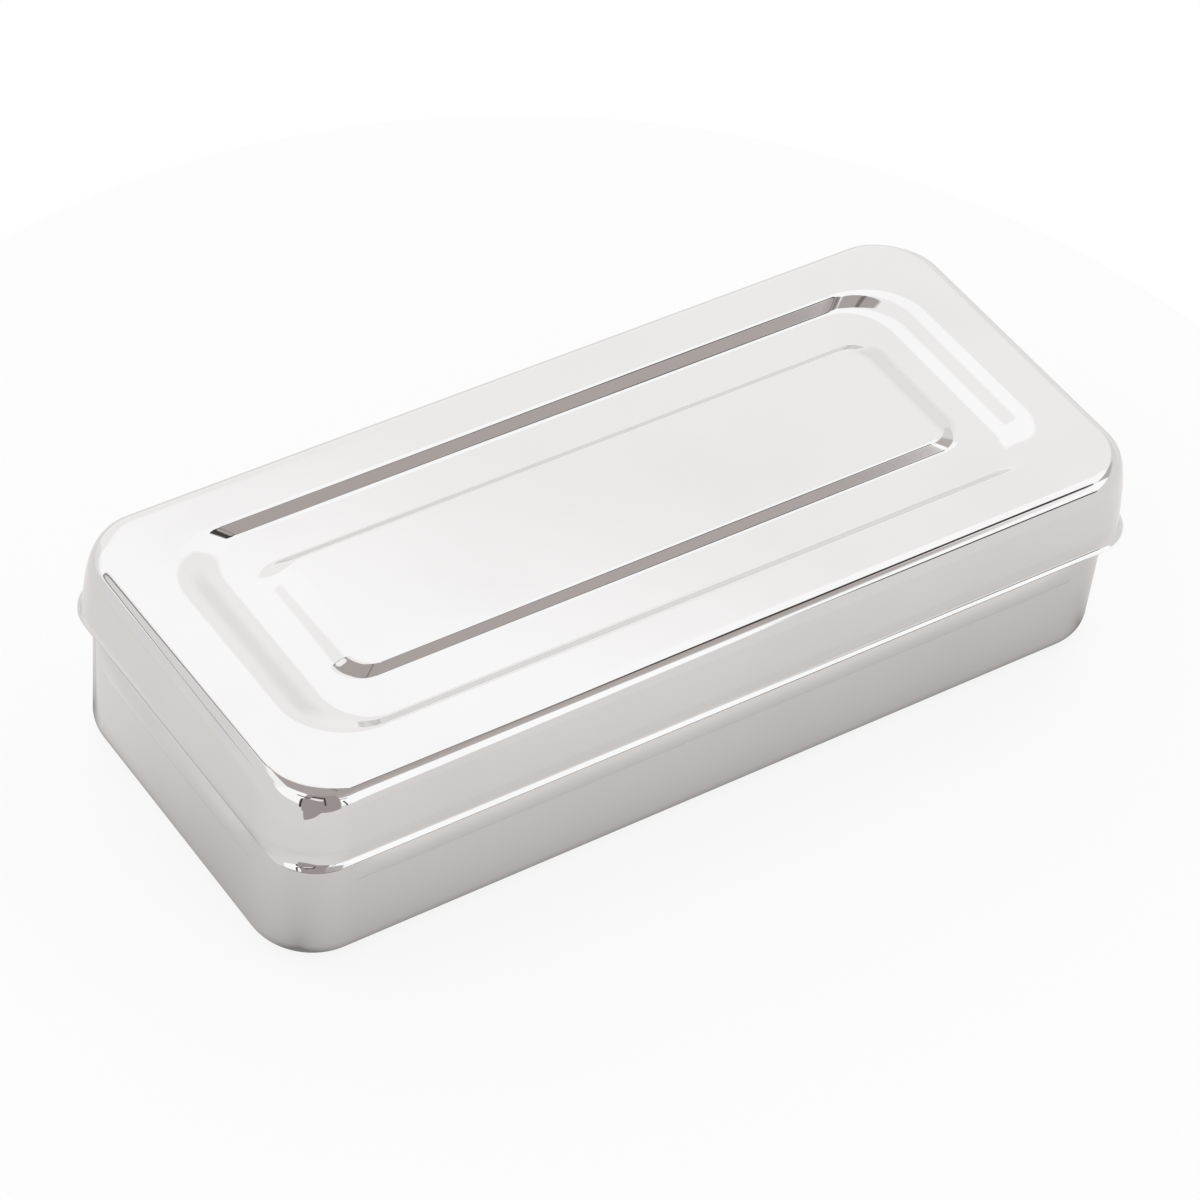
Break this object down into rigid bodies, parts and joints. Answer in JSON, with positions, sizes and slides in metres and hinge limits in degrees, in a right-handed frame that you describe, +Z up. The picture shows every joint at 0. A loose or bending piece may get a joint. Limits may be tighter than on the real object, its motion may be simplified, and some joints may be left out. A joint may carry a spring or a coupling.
{
  "type": "sterilization box",
  "caption": "Long flat steel instrument box with rounded corners and a deep lift-off lid: flared lower edge, recessed top with a raised panel, and stop ribs on the base under the lid.",
  "frame": {"origin": "centre of the base's underside, on the surface that the box stands on", "axes": "+X along the box, +Y across it, +Z up through the lid"},
  "size_m": [0.18, 0.08, 0.0416],
  "materials": {
    "base_steel": "polished stainless sheet",
    "lid_steel": "polished stainless sheet"
  },
  "bodies": {
    "base": {"base": "base_steel"},
    "lid": {"lid": "lid_steel"}
  },
  "joints": [
    {"name": "lid_lift", "type": "slide", "parent": "base", "child": "lid", "axis": [0, 0, 1], "range_m": [0, 0.06]}
  ]
}
